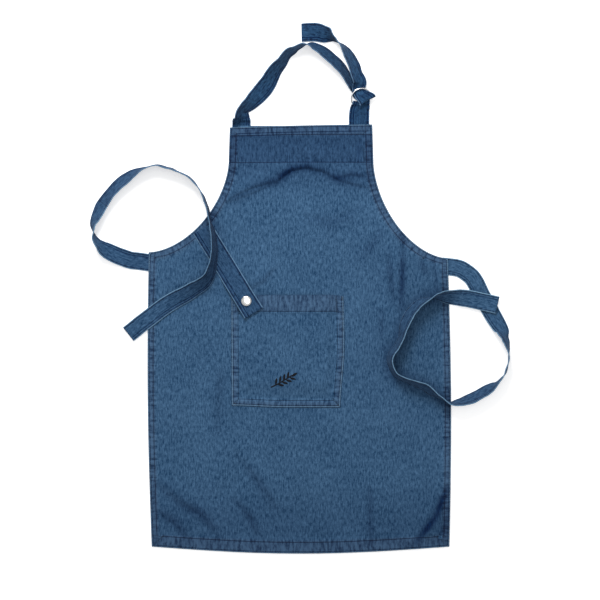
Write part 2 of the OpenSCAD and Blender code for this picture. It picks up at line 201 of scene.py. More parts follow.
def arm_edge(sign, u):
    """Armhole edge, u from 0 at the waist to 1 at the bib, closely spaced at the waist."""
    rise = u ** ARM_RISE
    sine = (1 - rise) ** (1 / ARM_POWER)
    corner = side_edge(sign, np.array(1.0))
    near = sign * (BIB_HALF + 2)
    across = corner[0] - (corner[0] - near) * np.sqrt(1 - sine ** 2) ** ARM_POWER
    along = corner[1] + (ARM_TOP - corner[1]) * rise
    return np.stack([across, along], -1)


def bib_side(sign, u):
    """Side of the bib, u from 0 at the armhole to 1 at the top."""
    top = BIB_TOP + (2 if sign > 0 else -4)
    return np.stack([sign * (BIB_HALF + 2 * (1 - u)), ARM_TOP + (top - ARM_TOP) * u], -1)


def steps(total, coarse, fine_start, fine_end):
    """Positions from 0 to total: closely spaced at the ends that ask for it."""
    fine = np.array([0, 0.8, 2.2, 4, 6, 8, 10, 12, 14, 16, 18.5, 22, 26])
    head = fine if fine_start else np.array([0.0])
    tail = total - fine[::-1] if fine_end else np.array([total])
    span = tail[0] - head[-1]
    middle = head[-1] + span * np.linspace(0, 1, max(2, int(round(span / coarse)) + 1))[1:-1]
    return np.concatenate([head, middle, tail]) / total


def panel_grid():
    """Points of the panel, row by row from the hem to the top of the bib."""
    waist = np.array([0, 0.5, 1.2, 2.2, 3.4, 4.8, 6.4, 8.2]) / 190
    rise = np.concatenate([waist, np.linspace(10.2 / 190, 1, 76)])
    parts = [(side_edge, steps(582, 4.5, True, False)[:-1]), (arm_edge, rise[:-1] ** (1 / ARM_RISE)),
             (bib_side, steps(70, 3.6, False, True))]
    left, right = (np.concatenate([edge(sign, u) for edge, u in parts]) for sign in (-1, 1))
    across = steps(600, 4.5, True, True)
    grid = left[:, None, :] * (1 - across)[None, :, None] + right[:, None, :] * across[None, :, None]
    low = np.clip(1 - (grid[..., 1] - HEM_Y) / 300, 0, 1) ** 2
    grid[..., 1] -= HEM_BOW * np.sin(np.pi * across)[None, :] * low
    high = np.clip((grid[..., 1] - 250) / 75, 0, 1)
    grid[..., 1] += np.sin(np.pi * across)[None, :] * high
    return grid


GRID = panel_grid()
RIM_STEP = 1.5
RIM = np.concatenate([GRID[0, :-1], GRID[:-1, -1], GRID[-1, :0:-1], GRID[:0:-1, 0], GRID[0, :1]])
RIM_DENSE = resample(RIM, RIM_STEP)[:-1]


def edge_distance(x, y):
    """Distance to the panel's edge, and the place along it of the nearest point."""
    x, y = np.ravel(x), np.ravel(y)
    far, near = np.empty(len(x)), np.empty(len(x))
    batch = 4000
    for i in range(0, len(x), batch):
        now = slice(i, i + batch)
        gap = (x[now, None] - RIM_DENSE[None, :, 0]) ** 2 + (y[now, None] - RIM_DENSE[None, :, 1]) ** 2
        k = gap.argmin(1)
        far[now] = np.sqrt(gap[np.arange(len(k)), k])
        near[now] = k * RIM_STEP
    return far, near


def in_bottom_hem(y):
    return y < HEM_Y + BOTTOM_HEM - 4


# soft folds of the panel: points along the foot of the fold, height, width; each fold's foot also gets
# painted shade
FOLDS = [
    ([(-148, 174), (-122, 190), (-88, 204), (-48, 214), (-18, 237), (12, 241), (42, 234), (78, 215),
      (142, 198)], 2.6, 10),
    ([(-44, 226), (-14, 238), (10, 241), (44, 234)], 1.5, 7),
    ([(-148, 170), (-110, 184), (-60, 206)], 1.6, 12),
    ([(116, 298), (115, 275), (116, 252)], 1.2, 5),
    ([(70, 220), (100, 227), (126, 224), (144, 214)], 2.0, 8),
    ([(204, 108), (203, 60), (202, 10), (200, -40)], 4.0, 8),
    ([(176, 70), (178, 30), (186, -30)], 2.2, 8),
    ([(158, 116), (140, 84), (108, 48)], 1.8, 10),
    ([(240, 60), (248, 30)], 2.6, 8),
    ([(262, 64), (268, 28), (272, -6)], 1.8, 6),
    ([(161, -45), (161, -118)], 2.0, 6),
    ([(138, -396), (139, -508)], 2.3, 8),
    ([(292, -400), (270, -455), (230, -508)], 6.5, 9),
    ([(298, -440), (276, -505)], 3.0, 10),
    ([(-286, -392), (-240, -428), (-200, -450), (-162, -500)], 2.2, 13),
    ([(-292, -440), (-250, -470), (-226, -508)], 2.0, 12),
    ([(-128, -424), (-100, -460), (-82, -505)], 1.7, 10),
    ([(-128, -330), (-84, -388), (-50, -440)], 1.6, 12),
    ([(-98, 0), (-76, 14), (-54, 38)], 1.8, 7),
    ([(-160, -160), (-166, -220), (-168, -290)], -1.2, 14),
    ([(-232, -10), (-190, 12), (-172, 30)], 1.6, 9),
    ([(100, 150), (60, 130), (10, 140)], 1.4, 16),
]


def fold_height(x, y, points, height, width):
    """Height of a fold, steep at its foot and easing off to the left of it, and the painted shade along its
    foot.
    """
    points = np.asarray(points, float)
    best = np.full(np.shape(x), np.inf)
    signed = np.zeros(np.shape(x))
    fade = np.zeros(np.shape(x))
    lengths = distance_along(points)
    for i in range(len(points) - 1):
        a, b = points[i], points[i + 1]
        d = b - a
        t = ((x - a[0]) * d[0] + (y - a[1]) * d[1]) / (d @ d)
        c = np.clip(t, 0, 1)
        px, py = x - a[0] - c * d[0], y - a[1] - c * d[1]
        gap = np.hypot(px, py)
        side = np.sign(d[0] * py - d[1] * px)
        closer = gap < best
        best = np.where(closer, gap, best)
        signed = np.where(closer, gap * side, signed)
        place = (lengths[i] + c * (lengths[i + 1] - lengths[i])) / lengths[-1]
        ends = np.sin(np.pi * np.clip(0.12 + 0.76 * place, 0, 1)) ** 0.7
        past_end = np.abs(t - c) * np.linalg.norm(d)
        fade = np.where(closer, ends * np.exp(-(past_end / 14) ** 2), fade)
    rise = np.where(signed > 0, np.exp(-signed / (width * 3.2)), 0.0)
    toe = 1 / (1 + np.exp(-signed / width * 3.4))
    # painted shade along the fold's foot, stronger for higher folds
    dark = fade * abs(height) / 3 * np.exp(-(signed / width / 0.8) ** 2)
    return 1.7 * height * fade * rise * toe, dark


def panel_height(x, y):
    """Height of the middle of the panel's cloth over the table, in mm."""
    x, y = np.asarray(x, float), np.asarray(y, float)
    shape = x.shape
    x, y = x.ravel(), y.ravel()
    far, near = edge_distance(x, y)
    z = 1.25 + 0.55 * noise(x, y, 150, 3) + 0.45 * noise(x, y, 74, 5) + 0.2 * noise(x, y * 0.8, 33, 8) + 0.9
    for points, height, width in FOLDS:
        z = z + fold_height(x, y, points, height, width)[0]
    hem = np.where(in_bottom_hem(y), BOTTOM_HEM, SIDE_HEM + 1)
    over_hem = ease((hem + 3 - far) / 5)
    over_facing = ease((y - (BIB_TOP - FACING - 3)) / 5)
    over = np.maximum(over_hem, over_facing)
    z = z * (1 - 0.72 * over) + over * 2.1
    z += over * (0.5 * noise(near, far, 46, 21) + 0.25 * noise(near, far, 15, 22)) * ease(far / 4 + 0.4)
    for centre, half in ((-119, 19), (116, 22)):  # over the ends of the neck strap and its tab
        z += 0.9 * ease((y - 292) / 16) * ease((half + 6 - np.abs(x - centre)) / 8)
    under_pocket = 2.3 + 0.1 * noise(x, y, 60, 4)
    beside = np.clip(np.abs(x + 27) - 112, 0, None)
    beyond = np.clip(np.abs(y + 126) - 112, 0, None)
    clear = ease((np.hypot(beside, beyond) - 2) / 22)
    z = under_pocket + (z - under_pocket) * (0.25 + 0.75 * clear)
    return z.reshape(shape)


# -------- meshes
def mesh_object(name, verts, faces, weave, seam=None, **layers):
    """A smooth mesh in metres, from mm, with UV maps in metres and float layers on its points."""
    mesh = bpy.data.meshes.new(name)
    mesh.from_pydata((np.asarray(verts, float) * MM).tolist(), [], [list(map(int, f)) for f in faces])
    mesh.validate()
    index = np.empty(len(mesh.loops), np.int32)
    mesh.loops.foreach_get("vertex_index", index)
    for label, values in (("weave", weave), ("seam", seam)):
        if values is not None:
            layer = mesh.uv_layers.new(name=label)
            flat = (np.asarray(values, float) * MM)[index].astype(np.float32)
            layer.data.foreach_set("uv", flat.ravel())
    for label, values in layers.items():
        layer = mesh.attributes.new(label, "FLOAT", "POINT")
        layer.data.foreach_set("value", np.asarray(values, np.float32))
    mesh.shade_smooth()
    for polygon in mesh.polygons:
        if polygon.loop_total > 4:
            polygon.use_smooth = False
    piece = bpy.data.objects.new(name, mesh)
    bpy.context.scene.collection.objects.link(piece)
    return piece


def sheet_mesh(name, grid, thick, weave, seam, **layers):
    """A closed sheet of cloth from a grid of points at its middle, with rounded edges."""
    rows, cols = grid.shape[:2]
    du = np.gradient(grid, axis=1)
    dv = np.gradient(grid, axis=0)
    normal = unit(np.cross(du, dv))
    half = np.broadcast_to(np.asarray(thick, float) / 2, (rows, cols))[..., None]
    top, bottom = grid + normal * half, grid - normal * half
    ring = np.array([(0, c) for c in range(cols)] + [(r, cols - 1) for r in range(1, rows)]
                    + [(rows - 1, c) for c in range(cols - 2, -1, -1)]
                    + [(r, 0) for r in range(rows - 2, 0, -1)])
    inner = np.clip(ring, 1, [rows - 2, cols - 2])
    edge = grid[ring[:, 0], ring[:, 1]]
    out = unit(edge - grid[inner[:, 0], inner[:, 1]])
    rim = edge + out * half[ring[:, 0], ring[:, 1]] * 0.9
    n = rows * cols
    verts = np.concatenate([top.reshape(-1, 3), bottom.reshape(-1, 3), rim])
    ids = np.arange(n).reshape(rows, cols)
    quad = np.stack([ids[:-1, :-1], ids[:-1, 1:], ids[1:, 1:], ids[1:, :-1]], -1).reshape(-1, 4)
    at = ids[ring[:, 0], ring[:, 1]]
    after = np.roll(at, -1)
    rim_id = 2 * n + np.arange(len(ring))
    rim_after = np.roll(rim_id, -1)
    faces = np.concatenate([quad, quad[:, ::-1] + n, np.stack([at, rim_id, rim_after, after], -1),
                            np.stack([rim_id, at + n, after + n, rim_after], -1)])

    def twice(values):
        flat = np.asarray(values, float).reshape((n,) + np.shape(values)[2:])
        return np.concatenate([flat, flat, flat[at]])

    layers = {k: twice(v) for k, v in layers.items()}
    return mesh_object(name, verts, faces, twice(weave), twice(seam), **layers)


# half of a strap's section: place from the middle, 0, to the edge, 1, and half thickness from 0 to 1
HALF_SECTION = [(0.0, 0.88), (0.4, 0.9), (0.72, 0.92), (0.80, 0.80), (0.88, 1.0), (0.95, 0.95), (0.985, 0.62),
                (1.0, 0.0)]
SECTION = [(-a, t) for a, t in HALF_SECTION[:0:-1]] + HALF_SECTION


def tube(rows, around):
    """Numbers of a tube's points, row by row, and the faces between the rows."""
    ids = np.arange(rows * around).reshape(rows, around)
    after = np.roll(ids, -1, axis=1)
    return ids, np.stack([ids[:-1], after[:-1], after[1:], ids[1:]], -1).reshape(-1, 4)


class Strap:
    """A flat strap swept along a line: centre, direction across and half width at each step."""

    def __init__(self, centre, across, half, seed, thick=STRAP, curl=1.0):
        self.centre, self.half = centre, half
        tangent = unit(np.gradient(centre, axis=0))
        across = unit(across - tangent * (across * tangent).sum(1, keepdims=True))
        self.across, self.normal = across, unit(np.cross(tangent, across))
        self.along = distance_along(centre)
        self.curl, self.seed = np.broadcast_to(curl, half.shape), seed
        self.thick = np.broadcast_to(thick, half.shape)

    def point(self, i, place, lift):
        """Points at step i, at place -1 to 1 across, lifted off the middle by so many mm."""
        s = self.along[i]
        half = self.half[i]
        wave = self.curl[i] * (0.55 * noise(s, 0, 70, self.seed) * (place ** 2 - 0.35)
                               + 0.5 * noise(s, 9, 46, self.seed + 1) * place * (1 - place ** 2)
                               + 0.16 * noise(s, place * half, 13, self.seed + 2))
        sway = 0.35 * self.curl[i] * noise(s, place * 3, 17, self.seed + 3) * np.abs(place)
        return (self.centre[i] + self.across[i] * (place * half + sway)[:, None]
                + self.normal[i] * (wave + lift)[:, None])

    def steps(self, first, last):
        """Steps from first to last, or to the end."""
        return np.arange(first, len(self.centre) if last is None else last + 1)

    def mesh(self, name, first=0, last=None, shade=0.0, steep=0.0):
        """The cloth from one step to another, darker by shade, and with painted shade on its faces where it
        stands on edge.
        """
        length = self.steps(first, last)
        ring = np.array(SECTION + [(a, -t) for a, t in SECTION[-2:0:-1]])
        i = np.repeat(length, len(ring))
        place, lift = np.tile(ring[:, 0], len(length)), np.tile(ring[:, 1] / 2, len(length)) * self.thick[i]
        verts = self.point(i, place, lift)
        ids, faces = tube(len(length), len(ring))
        faces = [list(f[::-1]) for f in faces] + [list(ids[0]), list(ids[-1][::-1])]
        half, edge = self.half[i], np.abs(place)
        inset = (1 - edge) * half
        weave = np.stack([place * half + 7 * self.seed, self.along[i]], -1)
        seam = np.stack([self.along[i], inset], -1)
        # the shade layer: the given darkening plus painted shade, scaled by steep, where the strap stands on
        # edge
        return mesh_object(name, verts, faces, weave, seam, wear=np.clip((edge - 0.90) / 0.06, 0, 1),
                           band=np.clip((edge - 0.70) / 0.08, 0, 1),
                           shade=shade + steep * np.abs(self.across[i, 2]), inset=inset,
                           row=(1 - STRAP_ROWS[1]) * half, line_a=(place + 0.56) * half,
                           line_b=np.full(len(place), NOWHERE))

    def row(self, place, side, first, last=None):
        """Centre, direction and normal of each stitch in a row along the strap."""
        i = self.steps(first, last)
        line = self.point(i, np.full(len(i), place), side * self.thick[i] * 0.40)
        return stitch_line(line, self.normal[i] * side)

    def rows(self, first):
        """Both rows of stitches on both faces."""
        return [self.row(place, side, first) for place in STRAP_ROWS for side in (1, -1)]


def route_strap(route, step=2.5, seed=5, wobble=1.0):
    """Centre, direction across and half width of a strap, from a route's points."""
    fine = resample(spline(route, 12), step)
    left = np.pad(to_left(fine[:, :2]), ((0, 0), (0, 1)))
    at = np.arange(len(fine)) * step
    edge_on = np.abs(np.sin(np.radians(fine[:, 3]))) * ease((at - 20) / 20) * ease((at[-1] - at) / 20)
    shift = wobble * edge_on * (1.8 * noise(at, 0, 24, seed) + 0.5 * noise(at, 4, 10, seed + 1))
    fine[:, :2] += left[:, :2] * shift[:, None]
    fine[:, 3] += wobble * edge_on * (7 * noise(at, 8, 42, seed + 2) + 4 * noise(at, 12, 17, seed + 3))
    roll = np.radians(fine[:, 3])
    width = fine[:, 4]
    level = fine[:, 2] + width / 2 * np.abs(np.sin(roll)) + STRAP / 2 * np.abs(np.cos(roll))
    centre = np.stack([fine[:, 0], fine[:, 1], level], -1)
    across = np.cos(roll)[:, None] * left + np.sin(roll)[:, None] * UP
    return centre, across, width / 2


def stitch_line(line, normals):
    """Places of the stitches along a line: centre, direction, normal."""
    run = distance_along(line)
    at = np.arange(STITCH / 2 + 0.5, run[-1] - STITCH / 2, STITCH + STITCH_GAP)

    def pick(values, s):
        return np.stack([np.interp(s, run, values[:, k]) for k in range(3)], -1)

    centre = pick(line, at)
    return centre, unit(pick(line, at + 1) - pick(line, at - 1)), unit(pick(normals, at))


# a thread from end to end: place from -1 to 1, and radius from 0 to 1
CAPSULE = [(-1.0, 0.25), (-0.8, 0.8), (0.0, 1.0), (0.8, 0.8), (1.0, 0.25)]
SIDES = 6


def stitches(name, rows, length=STITCH, radius=THREAD):
    """One mesh of short threads from rows of centres, directions and normals."""
    centre, along, up = (np.concatenate([r[k] for r in rows]) for k in range(3))
    beside = unit(np.cross(up, along))
    up = unit(np.cross(along, beside))
    verts = np.stack([centre + along * (x * length / 2) + beside * (math.cos(a) * r * radius)
                      + up * (math.sin(a) * r * radius * 0.8 - 0.1 * x * x)
                      for x, r in CAPSULE for a in np.arange(SIDES) * 2 * math.pi / SIDES], 1)
    ids, one = tube(len(CAPSULE), SIDES)
    count, each = len(centre), ids.size
    start = np.arange(count) * each
    faces = [list(q) for q in (one[None] + start[:, None, None]).reshape(-1, 4)]
    for cap in (ids[0][::-1], ids[-1]):
        faces += [list(cap + c) for c in start]
    place = np.repeat([x / 2 for x, _ in CAPSULE], SIDES)
    weave = np.stack([(place[None, :] * (np.zeros((count, 1)) + length)).ravel(),
                      np.repeat(np.arange(count) % 97, each) * 1.0], -1)
    return mesh_object(name, verts.reshape(-1, 3), faces, weave)


# -------- materials
class Nodes:
    """Builds a node tree a line at a time."""

    def __init__(self, name):
        self.material = bpy.data.materials.new(name)
        self.material.use_nodes = True
        self.tree = self.material.node_tree
        self.shader = self.tree.nodes["Principled BSDF"]

    def add(self, kind, inputs=(), **props):
        node = self.tree.nodes.new(kind)
        for key, value in props.items():
            setattr(node, key, value)
        for key, value in dict(inputs).items():
            if isinstance(value, bpy.types.NodeSocket):
                self.tree.links.new(value, node.inputs[key])
            else:
                node.inputs[key].default_value = value
        return node

    def uv(self, layer, scale=(1, 1), turn=0.0):
        source = self.add("ShaderNodeUVMap", uv_map=layer).outputs[0]
        return self.add("ShaderNodeMapping", {"Vector": source, "Scale": (*scale, 1),
                                              "Rotation": (0, 0, turn)}).outputs[0]

    def noise(self, vector, scale=1.0, detail=2.0, rough=0.5):
        return self.add("ShaderNodeTexNoise", {"Vector": vector, "Scale": scale, "Detail": detail,
                                               "Roughness": rough}).outputs["Fac"]

    def math(self, op, a, b=0.0, clamp=False):
        return self.add("ShaderNodeMath", {0: a, 1: b}, operation=op, use_clamp=clamp).outputs[0]

    def sum(self, a, b, clamp=False):
        return self.math("ADD", a, b, clamp)

    def less(self, a, b, clamp=False):
        return self.math("SUBTRACT", a, b, clamp)

    def times(self, a, b, clamp=False):
        return self.math("MULTIPLY", a, b, clamp)

    def waves(self, vector, **values):
        inputs = {"Vector": vector, **{key.replace("_", " "): value for key, value in values.items()}}
        return self.add("ShaderNodeTexWave", inputs, wave_type="BANDS", bands_direction="X").outputs["Fac"]

    def mix(self, fac, a, b, blend="MIX"):
        return self.add("ShaderNodeMix", {0: fac, 6: a, 7: b}, data_type="RGBA", blend_type=blend).outputs[2]

    def layer(self, name):
        return self.add("ShaderNodeAttribute", attribute_name=name).outputs["Fac"]

    def bump(self, height, distance, strength=1.0, normal=None):
        inputs = {"Height": height, "Distance": distance, "Strength": strength}
        if normal is not None:
            inputs["Normal"] = normal
        return self.add("ShaderNodeBump", inputs).outputs[0]

    def set(self, **values):
        """Values on the shader's own sockets, or links to them."""
        for key, value in values.items():
            socket = self.shader.inputs[key.replace("_", " ")]
            if isinstance(value, bpy.types.NodeSocket):
                self.tree.links.new(value, socket)
            else:
                socket.default_value = value


GREYER = (0.034, 0.036, 0.066, 1)  # the tint of turned hems
SHADED = (0.02, 0.14, 0.29, 1)  # what is left of each colour where the cloth is darkest, under the painted shade of the shade layer and the seam grooves, and a strap's dim


def denim(name, dark, light, worn, dim=0.0):
    """Twill denim: slubs along the warp, mottled fading, greyer hems, puckers and grooves along the seams,
    with painted shade along the grooves and stitch rows and from the shade layer.
    """
    n = Nodes(name)
    slub = n.noise(n.uv("weave", (420, 80)), detail=4, rough=0.7)
    mottle = n.noise(n.uv("weave", (190, 120)), detail=5, rough=0.8)
    yarn = n.noise(n.uv("weave", (950, 520)), detail=1)
    cloud = n.noise(n.uv("weave", (13, 10)))
    twill = n.waves(n.uv("weave", turn=math.radians(28)), Scale=180.0, Distortion=1.2, Detail=1.0,
                    Detail_Scale=3.0)
    ripple = n.noise(n.uv("seam", (175, 42), 0.25), detail=1.5)
    band, wear, hem, shade, inset = (n.layer(k) for k in ("band", "wear", "hem", "shade", "inset"))

    tone = n.times(slub, 2.4)
    for value, weight in ((mottle, 2.0), (yarn, 0.3), (cloud, 0.4), (twill, 0.16)):
        tone = n.sum(tone, n.times(value, weight))
    tone = n.less(tone, 2.13)
    ridge = n.times(n.less(ripple, 0.46), n.times(band, 2.7))
    tone = n.sum(tone, ridge, clamp=True)
    colour = n.mix(tone, (*dark, 1), (*light, 1))
    colour = n.mix(n.times(hem, 0.24), colour, GREYER)

    def near(offset, half):
        """One on a line, falling to zero at a distance of half."""
        away = n.math("DIVIDE", n.math("ABSOLUTE", offset), half)
        return n.less(1.0, away, clamp=True)

    rim = near(n.less(inset, 1.1), 1.1)
    wear = n.math("MAXIMUM", wear, n.times(rim, 0.6))
    rubbed = n.times(wear, n.sum(n.times(slub, 1.2), 0.2), clamp=True)
    colour = n.mix(rubbed, colour, (*worn, 1))
    # painted shade: dark lines along the stitch rows and seam grooves, added to the shade layer and dim
    groove = 0.0
    for offset, half in ((n.less(inset, n.layer("row")), 1.5),
                         (n.less(inset, 3.0), 1.2), (n.layer("line_a"), 1.4),
                         (n.layer("line_b"), 1.4)):
        groove = n.math("MAXIMUM", groove, near(offset, half))
    deep = n.sum(n.sum(shade, dim), n.times(groove, 0.75), clamp=True)
    colour = n.mix(deep, colour, SHADED, "MULTIPLY")
    grain = n.sum(n.times(twill, 0.6), n.times(yarn, 0.8))
    fine = n.bump(grain, 0.0003, 0.6)
    soft = n.bump(n.sum(mottle, slub), 0.0005, 0.5, fine)
    pull = n.less(n.times(ripple, band), n.times(groove, 0.25))
    n.set(Base_Color=colour, Roughness=0.9, Normal=n.bump(pull, 0.0026, 0.9, soft), Sheen_Weight=0.02,
          Sheen_Roughness=0.5, Specular_IOR_Level=0.12)
    return n.material


def thread_material(name, colour, shade):
    """Twisted sewing thread."""
    n = Nodes(name)
    twist = n.waves(n.uv("weave", turn=0.6), Scale=420.0, Distortion=0.5)
    tint = n.noise(n.uv("weave", (60, 400)))
    tone = n.times(n.sum(twist, tint), 0.5)
    n.set(Base_Color=n.mix(tone, (*shade, 1), (*colour, 1)), Roughness=0.6,
          Normal=n.bump(twist, 0.0001, 0.5), Specular_IOR_Level=0.12)
    return n.material


def metal_material(name, colour, rough, scale):
    """Plated wire or sheet with faint scuffs."""
    n = Nodes(name)
    where = n.add("ShaderNodeTexCoord").outputs["Object"]
    scuff = n.noise(where, scale, 4.0, 0.65)
    smudge = n.noise(where, scale * 0.12)
    n.set(Base_Color=n.mix(smudge, (*[c * 0.86 for c in colour], 1), (*colour, 1)), Metallic=1.0,
          Roughness=n.sum(n.times(scuff, rough), rough * 0.6),
          Normal=n.bump(scuff, 0.00004, 0.5))
    return n.material


PANEL = denim("denim_panel", (0.003, 0.028, 0.077), (0.061, 0.136, 0.244), (0.19, 0.33, 0.46))
STRAPS = denim("denim_strap", (0.001, 0.015, 0.052), (0.054, 0.148, 0.272), (0.20, 0.33, 0.46), 0.52)
THREAD_GREY = thread_material("thread_grey", (0.030, 0.042, 0.070), (0.012, 0.019, 0.034))
THREAD_DARK = thread_material("thread_dark", (0.007, 0.008, 0.012), (0.002, 0.002, 0.004))
CHROME = metal_material("ring_chrome", (0.80, 0.81, 0.83), 0.12, 900)
STEEL = metal_material("snap_steel", (0.86, 0.86, 0.84), 0.16, 700)


def finish_piece(piece, material, slot, *nodes):
    """Gives a piece its material, and hides the CAD nodes that it stands for; its slot is not used."""
    piece.data.materials.append(material)
    if nodes:
        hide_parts(*nodes)
    return piece


# -------- panel, hems and facings
def bib_row_y(x):
    """Height on the bib of the stitch row under its top edge."""
    return BIB_TOP - BIB_STITCH - 1 - 3 * ease(-x / 140)


def facing_row_y(x):
    """Height on the bib of the stitch row at the foot of its facing."""
    return BIB_TOP - FACING - 1.5 - ease(-x / 140)


def build_panel():
    """The panel, with its puckered bands and greyer hems; painted shade at its folds, beside the ties where
    they stand on edge, along its very edge and towards its bottom; and a darker bib.
    """
    x, y = GRID[..., 0], GRID[..., 1]
    z = panel_height(x, y)
    far, near = edge_distance(x, y)
    far, near = far.reshape(z.shape), near.reshape(z.shape)
    hem = np.where(in_bottom_hem(y), BOTTOM_HEM, np.where(y > RIGHT_WAIST, ARM_HEM, SIDE_HEM))
    band = ease((hem + 7 - far) / 9)
    line = np.abs(y - (BIB_TOP - FACING + 12))
    facing = 0.5 * ease((24 - line) / 16) * (y > BIB_TOP - FACING - 8)
    seam = np.where((facing > band)[..., None], np.stack([x + 3000, y - BIB_TOP], -1),
                    np.stack([near, far], -1))
    band = np.maximum(band, facing)
    top_hem = ease((BIB_STITCH + 3 - (BIB_TOP - y)) / 2)
    tint = np.maximum(ease((hem + 1 - far) / 2), top_hem)
    # darker towards the top of the bib, with a step at the foot of its facing, halved on the top hem; painted
    # shade towards the bottom hem and within 0.6 mm of the panel's edge
    shade = 0.36 * ease((y - 170) / 80) + 0.18 * ease((y - (BIB_TOP - FACING - 2)) / 3)
    shade = shade * (1 - 0.5 * top_hem) + 0.2 * ease((-y - 360) / 120) + 0.35 * np.clip(1 - far / 0.6, 0, 1)
    # painted shade at the foot of each fold, unevenly strong
    fold_shade_amount = 0.52 + 0.3 * noise(x, y, 38, 71)
    for points, height, width in FOLDS:
        shade = shade + fold_shade_amount * fold_height(x, y, points, height, width)[1]
    # painted shadow on the panel beside the stretches where a tie stands on edge
    for route in (LEFT_TIE, RIGHT_TIE):
        centre, across = route_strap(route, step=4, wobble=0)[:2]
        standing = centre[np.abs(across[:, 2]) > 0.6, :2]
        away = np.min([np.hypot(x - x_tie, y - y_tie) for x_tie, y_tie in standing], axis=0)
        shade = shade + 0.52 * np.exp(-(np.minimum(away, NOWHERE) / 15) ** 2)
    row = np.where(in_bottom_hem(y), BOTTOM_ROW, np.where(y > RIGHT_WAIST + 4, ARM_ROW, SIDE_ROW))
    piece = sheet_mesh("apron_panel", np.stack([x, y, z], -1), CLOTH, GRID, seam, band=band, hem=tint,
                       shade=shade, inset=far, row=row, line_a=y - bib_row_y(x), line_b=y - facing_row_y(x))
    return finish_piece(piece, PANEL, "denim", "body_panel")


def edge_strip(name, line, width, node):
    """A folded hem or facing under the panel, along a line that keeps the panel on its left."""
    step, thick = 4, 1.1
    line = resample(line, step)
    places = np.array([width - 0.6, width - 2.5, width * 0.5, 3, 1.2, 0.3])
    flat = line[None] + to_left(line)[None] * places[:, None, None]
    z = np.maximum(panel_height(flat[..., 0], flat[..., 1]) - CLOTH / 2 - 0.62, thick / 2)
    grid = np.concatenate([flat, z[..., None]], -1)
    seam = np.stack(np.broadcast_arrays(np.arange(len(line)) * step, places[:, None]), -1)
    nowhere = np.full(z.shape, NOWHERE)
    piece = sheet_mesh(name, grid, thick, flat, seam, band=np.ones(z.shape), inset=nowhere, line_a=nowhere,
                       line_b=nowhere)
    piece = finish_piece(piece, PANEL, "denim", node)
    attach(piece, "apron")
    size = float(np.linalg.norm(np.diff(line, axis=0), axis=1).sum())


# -------- pocket
def pocket_point(across, down):
    """Place on the pocket, from 0 to 1 across and down from the mouth."""
    left = POCKET_LEFT + 1.5 * down
    right = POCKET_RIGHT + 1.5 * np.sin(np.pi * down * 0.8) - 7.5 * ease((down - 0.45) / 0.55)
    x = left + (right - left) * across
    y = (POCKET_TOP - POCKET_SIZE * down - 1.6 * ease((across - 0.9) / 0.1) * (1 - down)
         + 3.5 * down * ease((0.5 - across) / 0.5))
    return x, y


def pocket_edges(across, down):
    """Distance to the nearer side, the foot and the mouth, and from 0 to 1 where the cloth is turned in."""
    side = np.minimum(across, 1 - across) * POCKET_SIZE
    foot, mouth = (1 - down) * POCKET_SIZE, down * POCKET_SIZE
    turned = np.maximum.reduce([ease((POCKET_TURNED - side) / 2.5), ease((POCKET_TURNED - foot) / 2.5),
                                ease((MOUTH_HEM - mouth) / 2)])
    return side, foot, mouth, turned


def pocket_height(across, down):
    """Middle of the pocket's cloth: flat along the seams, lifted between them, gaping at the mouth."""
    x, y = pocket_point(across, down)
    side, foot = pocket_edges(across, down)[:2]
    lift = ease((side - 13) / 24) * ease((foot - 13) / 40)
    sag = 1 - 0.10 * np.exp(-((across - 0.55) / 0.22) ** 2) * ease(1 - down / 0.5)
    folds = 0.35 * noise(x, y, 62, 31) + 0.16 * noise(x, y * 0.6, 24, 32)
    crease = -0.8 * np.exp(-((across - 0.14 - 0.09 * down) / 0.028) ** 2) * ease((down - 0.12) / 0.2)
    return panel_height(x, y) + CLOTH + 0.1 + POCKET_GAPE * lift * sag + folds * lift + crease * lift


def build_pocket():
    """The pocket, thicker where its edges are turned in, with puckers along its seams and painted shade along
    its very edge and mouth.
    """
    places = steps(POCKET_SIZE, 3.2, True, True)
    mouth_seam = (MOUTH_HEM + np.array([-1.6, 0, 1.6])) / POCKET_SIZE
    a, d = np.meshgrid(places, np.unique(np.concatenate([places, mouth_seam]))[::-1])
    x, y = pocket_point(a, d)
    side, foot, mouth, turned = pocket_edges(a, d)
    ripple = (noise(x, mouth * 0.2, 7.5, 41) * ease((MOUTH_HEM + 5 - mouth) / 8) * ease((mouth + 3) / 9)
              + noise(side * 0.25, y, 6.5, 42) * ease((16 - side) / 5)
              + noise(x, foot * 0.25, 6.5, 43) * ease((16 - foot) / 5))
    z = pocket_height(a, d) + 0.16 * ripple + POCKET_RAISED * turned
    y = y + 0.35 * noise(x, 0, 26, 44) * ease(1 - mouth / 12)
    edge = np.minimum(side, foot)
    seam = np.where(((mouth < MOUTH_HEM + 6) & (side > 15))[..., None], np.stack([x + 900, mouth], -1),
                    np.where((side < foot)[..., None], np.stack([y, side], -1), np.stack([x, foot], -1)))
    band = np.maximum(ease((19 - edge) / 7), 0.8 * ease((MOUTH_HEM + 7 - mouth) / 9))
    # painted shade along the pocket's very edge and mouth
    shade = 0.3 * np.clip(1 - np.minimum(edge, mouth) / 0.5, 0, 1)
    piece = sheet_mesh("pocket_cloth", np.stack([x, y, z], -1), CLOTH + POCKET_EXTRA * turned,
                       np.stack([x, y], -1) + 400, seam, band=band, hem=turned, shade=shade, inset=edge,
                       row=np.full(x.shape, POCKET_ROWS[1]), line_a=mouth - MOUTH_HEM,
                       line_b=np.full(x.shape, NOWHERE))
    finish_piece(piece, PANEL, "denim", "patch_pocket", "pocket_hem")
    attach(piece, "apron")


